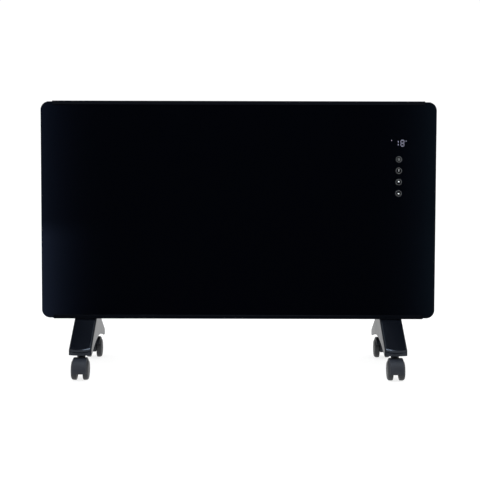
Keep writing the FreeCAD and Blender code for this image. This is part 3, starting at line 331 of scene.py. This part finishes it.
marks = {"proud": 0.05 * mm, "sunk": 0.3 * mm, "pointShare": 0.45, "keyShift": (-1.1 * mm, 0.4 * mm),
         "digitHalf": 3.15 * mm, "segment": 5.9 * mm, "segmentGap": 1.5 * mm, "digitStep": 11.6 * mm,
         "stroke": 0.8 * mm, "sideStroke": 0.68 * mm, "oneBar": 3.6 * mm,
         "eightShift": (1.1 * mm, 0.3 * mm), "roundSteps": 24,
         "dotShift": (-21.1 * mm, 5.7 * mm), "dotRadius": 0.78 * mm, "dotFill": 0.98,
         "degreeShift": (8.5 * mm, 4.4 * mm), "degreeRadius": 0.8 * mm, "degreeFill": 0.6,
         "ring": 5.9 * mm, "ringStroke": 0.4 * mm, "symbolStroke": 0.65 * mm,
         "powerRadius": 2.3 * mm, "powerStart": math.radians(35), "powerTurn": math.radians(290),
         "powerSteps": 32, "powerBarAt": 0.75, "powerBarTall": 1.1,
         "sandWidths": (3.335 * mm, 2.03 * mm), "sandBulbAt": 0.28, "sandBulb": 0.5, "sandPlateAt": 0.72,
         "arrow": 2.5 * mm, "arrowTall": 0.7, "arrowShift": 0.6 * mm}
markLights = {"base": (0.02, 0.02, 0.02), "rough": 0.1, "uneven": 260, "dimmest": 0.8,
              "display_light": ((0.66, 0.66, 0.9), 0.95), "ring_light": ((0.85, 0.88, 0.92), 0.36),
              "symbol_light": ((0.78, 0.84, 0.84), 0.5), "arrow_light": ((0.9, 0.95, 1.0), 1.4)}


def litFinish(name):
    bright, strength = markLights[name]
    dim = tuple(markLights["dimmest"] * part for part in bright)
    material, tree, shader = newMaterial(name)
    coords = tree.nodes.new("ShaderNodeTexCoord")
    glow = noiseNode(tree, coords.outputs["Object"], markLights["uneven"])  # uneven light of the diodes
    tree.links.new(mixColour(tree, glow, bright, dim), shader.inputs["Emission Color"])
    shader.inputs["Emission Strength"].default_value = strength
    shader.inputs["Base Color"].default_value = (*markLights["base"], 1)
    shader.inputs["Roughness"].default_value = markLights["rough"]
    return material


def barMark(bm, depths, x, z, wide, tall, point=0.0):
    verts = boxInto(bm, (x - wide / 2, depths[0], z - tall / 2), (x + wide / 2, depths[1], z + tall / 2))
    if point:
        roundEdges(bm, [edge for edge in edgesOf(verts) if alongY(edge)], point, 1)


def ringMark(bm, depths, x, z, radius, stroke, start=0.0, angle=fullTurn, steps=48):
    turn = Matrix.Rotation(start, 3, "Y")
    centre = Vector((x, 0, z))
    near, far = depths
    corners = ((near, radius), (far, radius), (far, radius - stroke), (near, radius - stroke))
    points = [centre + turn @ Vector((0, y, reach)) for y, reach in corners]
    spinProfile(bm, points, centre, (0, 1, 0), steps, angle)


def triangleMark(bm, depths, x, z, radius, turn, tall=1.0):
    near, far = depths
    place = Matrix.Translation((x, far, z)) @ Matrix.Rotation(turn, 4, "Y")
    place = place @ Matrix.Rotation(math.pi / 2, 4, "X") @ Matrix.Diagonal((1, tall, 1, 1))
    verts = bmesh.ops.create_circle(bm, cap_ends=True, radius=radius, segments=3, matrix=place)["verts"]
    raised = bmesh.ops.extrude_face_region(bm, geom=facesOf(verts))["geom"]
    bmesh.ops.translate(bm, vec=(0, near - far, 0), verts=only(bmesh.types.BMVert, raised))


lit = (glassLow.y - marks["proud"], glassLow.y + marks["sunk"])  # front and back of the lit marks
displayLow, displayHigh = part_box("display_module")
displayMid = (displayLow + displayHigh) / 2


def onDisplay(shift):
    return displayMid.x + shift[0], displayMid.z + shift[1]


figures = bmesh.new()  # a one, an eight, the degree ring and the indicator dot
half, length, stroke = marks["digitHalf"], marks["segment"], marks["stroke"]
eightX, eightZ = onDisplay(marks["eightShift"])
sideBar = (marks["sideStroke"], length - marks["segmentGap"])
oneBar = (stroke, marks["oneBar"])
bars = ((eightX - marks["digitStep"] + half, oneBar), (eightX - half, sideBar), (eightX + half, sideBar))
for x, (wide, tall) in bars:
    for side in (-1, 1):
        barMark(figures, lit, x, eightZ + side * length / 2, wide, tall, wide * marks["pointShare"])
flatBar = (2 * half - marks["segmentGap"] / 2, stroke)
for level in (-1, 0, 1):
    barMark(figures, lit, eightX, eightZ + level * length, *flatBar, stroke * marks["pointShare"])
for shape in ("dot", "degree"):
    radius = marks[f"{shape}Radius"]
    ringMark(figures, lit, *onDisplay(marks[f"{shape}Shift"]), radius, radius * marks[f"{shape}Fill"],
             steps=marks["roundSteps"])
addPiece("displayFigures", figures, litFinish("display_light"))

padLow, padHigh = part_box("touch_pads")
padRadius = (padHigh.x - padLow.x) / 2
keyX = (padLow.x + padHigh.x) / 2 + marks["keyShift"][0]
keyPitch = (padHigh.z - padLow.z - 2 * padRadius) / 3
keyZs = [padHigh.z - padRadius - keyPitch * step + marks["keyShift"][1] for step in range(4)]
powerZ, timerZ, upZ, downZ = keyZs

rings = bmesh.new()
for z in keyZs:
    ringMark(rings, lit, keyX, z, marks["ring"], marks["ringStroke"])
addPiece("keyRings", rings, litFinish("ring_light"))

symbols = bmesh.new()
thin, radius = marks["symbolStroke"], marks["powerRadius"]
ringMark(symbols, lit, keyX, powerZ, radius, thin, marks["powerStart"], marks["powerTurn"],
         marks["powerSteps"])
barMark(symbols, lit, keyX, powerZ + radius * marks["powerBarAt"], thin, radius * marks["powerBarTall"])
for side, turn, wide in ((1, math.pi, marks["sandWidths"][0]), (-1, 0, marks["sandWidths"][1])):
    bulbZ = timerZ + side * wide * marks["sandBulbAt"]  # sand glass of the timer key
    triangleMark(symbols, lit, keyX, bulbZ, wide * marks["sandBulb"], turn)
    barMark(symbols, lit, keyX, timerZ + side * wide * marks["sandPlateAt"], wide, thin)
addPiece("keySymbols", symbols, litFinish("symbol_light"))

arrows = bmesh.new()
for z, side, turn in ((upZ, 1, 0), (downZ, -1, math.pi)):
    arrowZ = z + side * marks["arrowShift"]
    triangleMark(arrows, lit, keyX, arrowZ, marks["arrow"], turn, marks["arrowTall"])
addPiece("keyArrows", arrows, litFinish("arrow_light"))
print("display and keys made")


# Caster wheels: domed discs with a ringed face and a round tread, spun about their axles

casterWheel = {"steps": 72, "soft": 0.25 * mm, "softSteps": 2, "softAngle": 30, "shadeAngle": 40,
               "profile": (  # distance out along the axle and radius, in millimetres
                   (15.1, 0.0), (15.1, 2.7), (6.5, 2.7), (6.5, 6.2), (8.3, 6.6), (8.3, 14.8),
                   (6.5, 15.4), (6.5, 18.9), (7.4, 19.9), (10.5, 20.0), (13.2, 19.8), (15.1, 19.1),
                   (16.4, 17.8), (17.0, 16.2), (16.6, 15.7), (16.6, 14.7), (17.1, 14.2), (17.55, 9.0),
                   (17.55, 5.4), (17.1, 5.0), (17.1, 4.2), (17.55, 3.8), (17.7, 0.0))}


def makeWheel(corner, place):
    node = f"{corner}_{place}_wheel"
    low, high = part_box(node)
    axleLow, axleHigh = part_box(f"{corner}_axle")
    centre = (axleLow + axleHigh) / 2
    side = 1 if (low.x + high.x) / 2 > centre.x else -1
    bm = bmesh.new()
    profile = casterWheel["profile"]
    points = [centre + Vector((side * reach * mm, 0, radius * mm)) for reach, radius in profile]
    spinProfile(bm, points, centre, (1, 0, 0), casterWheel["steps"], closed=False)
    bmesh.ops.remove_doubles(bm, verts=bm.verts, dist=1e-6)
    limit = math.radians(casterWheel["softAngle"])
    inner = [edge for edge in bm.edges if len(edge.link_faces) == 2]
    sharp = [edge for edge in inner if edge.calc_face_angle(0) > limit]
    roundEdges(bm, sharp, casterWheel["soft"], casterWheel["softSteps"])
    wheel = addPiece(f"{corner}_{place}_tyre", bm, finishes["wheel_plastic"], f"{corner}_{place}_roller",
                     casterWheel["shadeAngle"])
    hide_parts(node)


for row in ("front", "rear"):
    for side in ("left", "right"):
        for place in ("outer", "inner"):
            makeWheel(f"{row}_{side}", place)
print("wheels made")


# Cross-head screws in the end caps and under the feet

crossHead = {"segments": 32, "flat": 0.62, "arm": 0.14, "reach": 0.52, "depth": 0.55, "taper": 0.8,
             "rings": ((0.85, 0.16), (1.0, 0.5), (1.0, 1.0)), "shadeAngle": 40}
screwSets = {"capScrews": dict(node="end_cap_screws", slot="black_steel", head=3.8 * mm, height=2.2 * mm,
                               facing=(0, 1, 0)),
             "footScrews": dict(node="foot_screws", slot="zinc_steel", head=4.5 * mm, height=3.2 * mm,
                                facing=(0, 0, -1))}


def inCross(face, arm, reach):
    across, along, _ = (abs(part) for part in face.calc_center_median())
    return across < arm and along < reach or along < arm and across < reach


def screwHead(bm, place, radius, height):
    arm, reach = radius * crossHead["arm"], radius * crossHead["reach"]
    wide, drop = crossHead["flat"], 0.0
    bmesh.ops.create_circle(bm, cap_ends=True, radius=radius * wide, segments=crossHead["segments"])
    for axis in (Vector((1, 0, 0)), Vector((0, 1, 0))):
        for distance in (-reach, -arm, arm, reach):
            geom = bm.verts[:] + bm.edges[:] + bm.faces[:]
            bmesh.ops.bisect_plane(bm, geom=geom, dist=1e-7, plane_co=axis * distance, plane_no=axis)
    rim = [edge for edge in bm.edges if len(edge.link_faces) == 1]
    cross = [face for face in bm.faces if inCross(face, arm, reach)]
    sunk = bmesh.ops.extrude_face_region(bm, geom=cross)["geom"]
    bmesh.ops.delete(bm, geom=cross, context="FACES_ONLY")
    sunkVerts = only(bmesh.types.BMVert, sunk)
    bmesh.ops.translate(bm, vec=(0, 0, -height * crossHead["depth"]), verts=sunkVerts)
    bmesh.ops.scale(bm, vec=(crossHead["taper"], crossHead["taper"], 1), verts=sunkVerts)
    for wider, lower in crossHead["rings"]:  # the head's rounded edge and its side
        ring = bmesh.ops.extrude_edge_only(bm, edges=rim)["geom"]
        rim = only(bmesh.types.BMEdge, ring)
        ringVerts = only(bmesh.types.BMVert, ring)
        bmesh.ops.scale(bm, vec=(wider / wide, wider / wide, 1), verts=ringVerts)
        bmesh.ops.translate(bm, vec=(0, 0, -(lower - drop) * height), verts=ringVerts)
        wide, drop = wider, lower
    bmesh.ops.contextual_create(bm, geom=rim)
    bmesh.ops.transform(bm, matrix=place, verts=bm.verts)


def headSpots(low, high, facing, inset):  # the box's corners, with the heads' tops on its outer side
    spans = []
    for least, most, outward in zip(low, high, facing):
        across = (least + inset, most - inset)
        spans.append(across if outward == 0 else (most if outward > 0 else least,))
    return [Vector((x, y, z)) for x in spans[0] for y in spans[1] for z in spans[2]]


for name, screw in screwSets.items():
    turn = Vector(screw["facing"]).to_track_quat("Z", "Y").to_matrix().to_4x4()
    bm = bmesh.new()
    for spot in headSpots(*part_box(screw["node"]), screw["facing"], screw["head"]):
        single = bmesh.new()
        screwHead(single, Matrix.Translation(spot) @ turn, screw["head"], screw["height"])
        scratch = bpy.data.meshes.new("scratch")
        single.to_mesh(scratch)
        single.free()
        bm.from_mesh(scratch)
        bpy.data.meshes.remove(scratch)
    heads = addPiece(name, bm, finishes[screw["slot"]], sharp=crossHead["shadeAngle"])
    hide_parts(screw["node"])
print("screws made")


# On and off marks, printed on the two halves of the mains rocker

rockerMarks = {"tilt": math.radians(8), "dish": math.radians(6.84), "height": 2.5 * mm, "rise": 1.9 * mm,
               "proud": 0.06 * mm, "sunk": 0.25 * mm, "bar": (0.9 * mm, 3.2 * mm), "ring": 1.7 * mm,
               "stroke": 0.5 * mm, "ringSteps": 32}
inkLook = dict(colour=(0.72, 0.72, 0.7), second=(0.8, 0.8, 0.78), drift=300, grain=3000, bump=0.1,
               rough=(0.45, 0.6))
joints = {joint["name"]: joint for joint in frame["record"]["behaviour"]["joints"]}
pivot = Matrix.Translation(joints["mains_rock"]["pos_m"]) @ Matrix.Rotation(rockerMarks["tilt"], 4, "X")
printed = (-rockerMarks["sunk"], rockerMarks["proud"])  # back and front of the ink
bm = bmesh.new()
for side in (1, -1):
    known = set(bm.verts)
    if side > 0:
        barMark(bm, printed, 0, 0, *rockerMarks["bar"])
    else:
        ringMark(bm, printed, 0, 0, rockerMarks["ring"], rockerMarks["stroke"],
                 steps=rockerMarks["ringSteps"])
    seat = Matrix.Translation((0, rockerMarks["rise"], side * rockerMarks["height"]))
    place = pivot @ seat @ Matrix.Rotation(-side * rockerMarks["dish"], 4, "X")
    bmesh.ops.transform(bm, matrix=place, verts=[vert for vert in bm.verts if vert not in known])
addPiece("rockerMarks", bm, newFinish("white_ink", inkLook), "rocker")
print("rocker marks made")


# Floor, light and camera

studio = {"floorHalf": 40, "floor": (0.3, 0.3, 0.3), "floorGlow": 0.8, "matt": 0.9, "sky": 1.05}
cards = {"cardBehindCamera": dict(place=(0, -3.4, 0.3), tilt=math.pi / 2, half=(2.4, 0.45)),
         "cardOnFloor": dict(place=(0, -1.89, 0.004), tilt=0, half=(2.0, 1.53)),
         "cardOverhead": dict(place=(0, -0.35, 2.4), tilt=0, half=(2.4, 1.15))}
lights = {"topLight": dict(place=(0, -0.7, 1.9), aim=(0, -0.05, 0.2), size=(0.8, 0.8), power=20,
                           tint=(0.78, 0.89, 1.0)),
          "leftLight": dict(place=(-2.3, -0.8, 1.2), aim=(0, 0, 0.25), size=(1.2, 2.0), power=10,
                            tint=(1, 1, 1)),
          "rightLight": dict(place=(2.3, -0.8, 1.2), aim=(0, 0, 0.25), size=(1.2, 2.0), power=10,
                             tint=(1, 1, 1))}


def stagePlane(name, colour, place, half, glow=0.0):
    bm = bmesh.new()
    spread = place @ Matrix.Diagonal((*half, 1, 1))
    bmesh.ops.create_grid(bm, x_segments=1, y_segments=1, size=1, matrix=spread)
    mesh = bpy.data.meshes.new(name)
    bm.to_mesh(mesh)
    bm.free()
    plane = bpy.data.objects.new(name, mesh)
    bpy.context.scene.collection.objects.link(plane)
    material, _, shader = newMaterial(name)
    shader.inputs["Base Color"].default_value = (*colour, 1)
    shader.inputs["Roughness"].default_value = studio["matt"]
    shader.inputs["Specular IOR Level"].default_value = 0
    shader.inputs["Emission Color"].default_value = (1, 1, 1, 1)
    shader.inputs["Emission Strength"].default_value = glow
    mesh.materials.append(material)
    return plane


floorHalf = (studio["floorHalf"], studio["floorHalf"])  # a lit table, so that shadows stay faint
stagePlane("floor", studio["floor"], Matrix.Identity(4), floorHalf, studio["floorGlow"])
for name, card in cards.items():  # dark cards, seen only in gloss, that keep the glass black
    place = Matrix.Translation(card["place"]) @ Matrix.Rotation(card["tilt"], 4, "X")
    plane = stagePlane(name, (0, 0, 0), place, card["half"])
    plane.visible_camera = False
    plane.visible_diffuse = False
    plane.visible_shadow = False
    plane.visible_transmission = False
for name, lamp in lights.items():
    light = bpy.data.lights.new(name, "AREA")
    light.shape = "RECTANGLE"
    light.size, light.size_y = lamp["size"]
    light.energy = lamp["power"]
    light.color = lamp["tint"]
    holder = bpy.data.objects.new(name, light)
    holder.location = lamp["place"]
    aim = Vector(lamp["aim"]) - Vector(lamp["place"])
    holder.rotation_euler = aim.to_track_quat("-Z", "Y").to_euler()
    bpy.context.scene.collection.objects.link(holder)
world = bpy.data.worlds.new("studio")
world.use_nodes = True
sky = world.node_tree.nodes["Background"]
sky.inputs["Color"].default_value = (1, 1, 1, 1)
sky.inputs["Strength"].default_value = studio["sky"]
bpy.context.scene.world = world
bpy.context.scene.view_settings.view_transform = "Standard"

view = {"place": (-0.00036, -2.2213, 0.5136), "pitch": 0.0555, "yaw": -0.0015, "roll": 0.0026,
        "focalPixels": 1083.1, "framePixels": 480, "shiftPixels": -60, "sensor": 36}
lens = bpy.data.cameras.new("camera")
lens.sensor_width = view["sensor"]
lens.lens = view["focalPixels"] / view["framePixels"] * view["sensor"]
lens.shift_y = view["shiftPixels"] / view["framePixels"]
camera = bpy.data.objects.new("camera", lens)
heading = Matrix.Rotation(view["yaw"], 4, "Z") @ Matrix.Rotation(math.pi / 2 - view["pitch"], 4, "X")
camera.matrix_world = Matrix.Translation(view["place"]) @ heading @ Matrix.Rotation(view["roll"], 4, "Z")
bpy.context.scene.collection.objects.link(camera)
bpy.context.scene.camera = camera
print("stage made")
